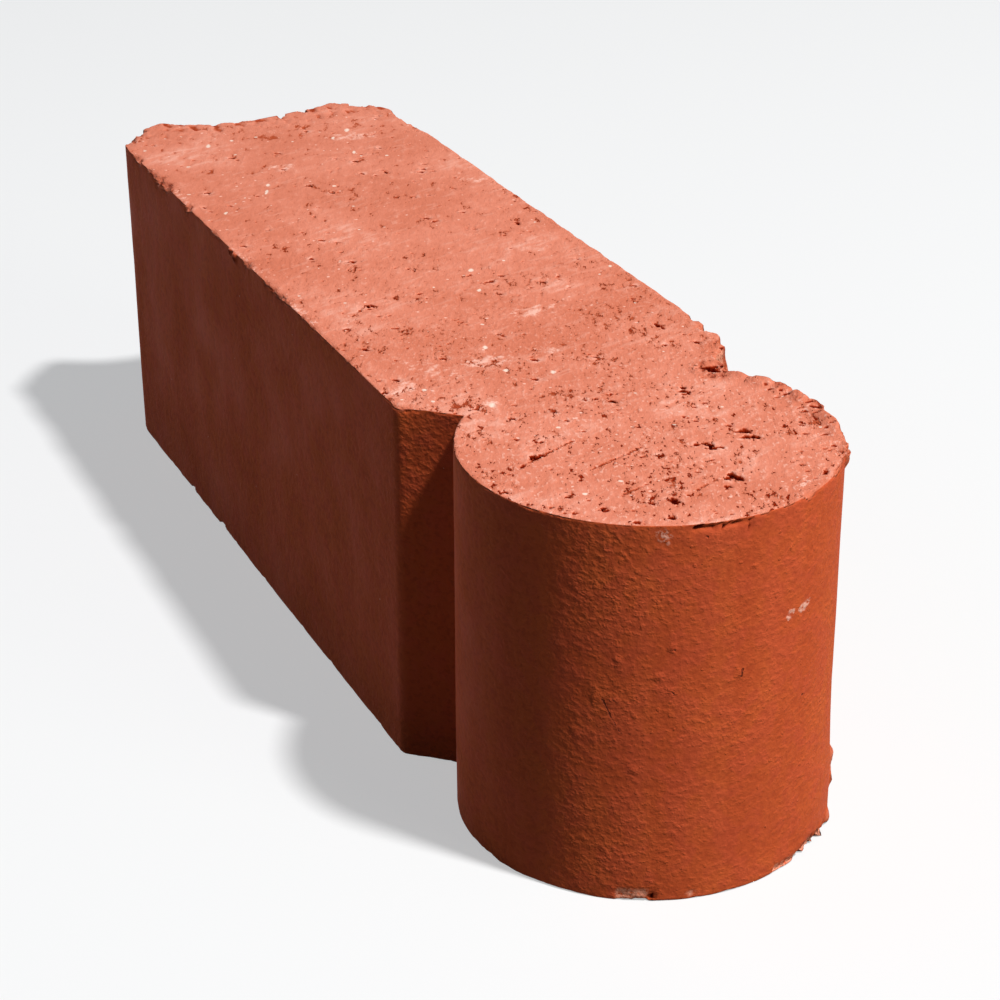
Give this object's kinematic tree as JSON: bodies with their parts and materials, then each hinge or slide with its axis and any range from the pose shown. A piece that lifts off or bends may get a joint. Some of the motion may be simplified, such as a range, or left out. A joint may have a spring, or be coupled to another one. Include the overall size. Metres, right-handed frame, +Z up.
{
  "type": "edging brick",
  "caption": "Fired clay garden edging brick with flat sides, a round head at one end and a matching shallow socket at the other, so bricks laid end to end nest and can follow a curve.",
  "frame": {"origin": "on the bed face, under the middle of the overall length and width", "axes": "+X along the brick towards the round head, +Y across it (left when facing the head end), +Z up"},
  "size_m": [0.207, 0.057, 0.06],
  "materials": {
    "fired_clay": "matte fired clay: pitted wire-cut top and bottom, smoother die skin all round"
  },
  "bodies": {
    "root": {"edging_brick": "fired_clay"}
  },
  "joints": []
}
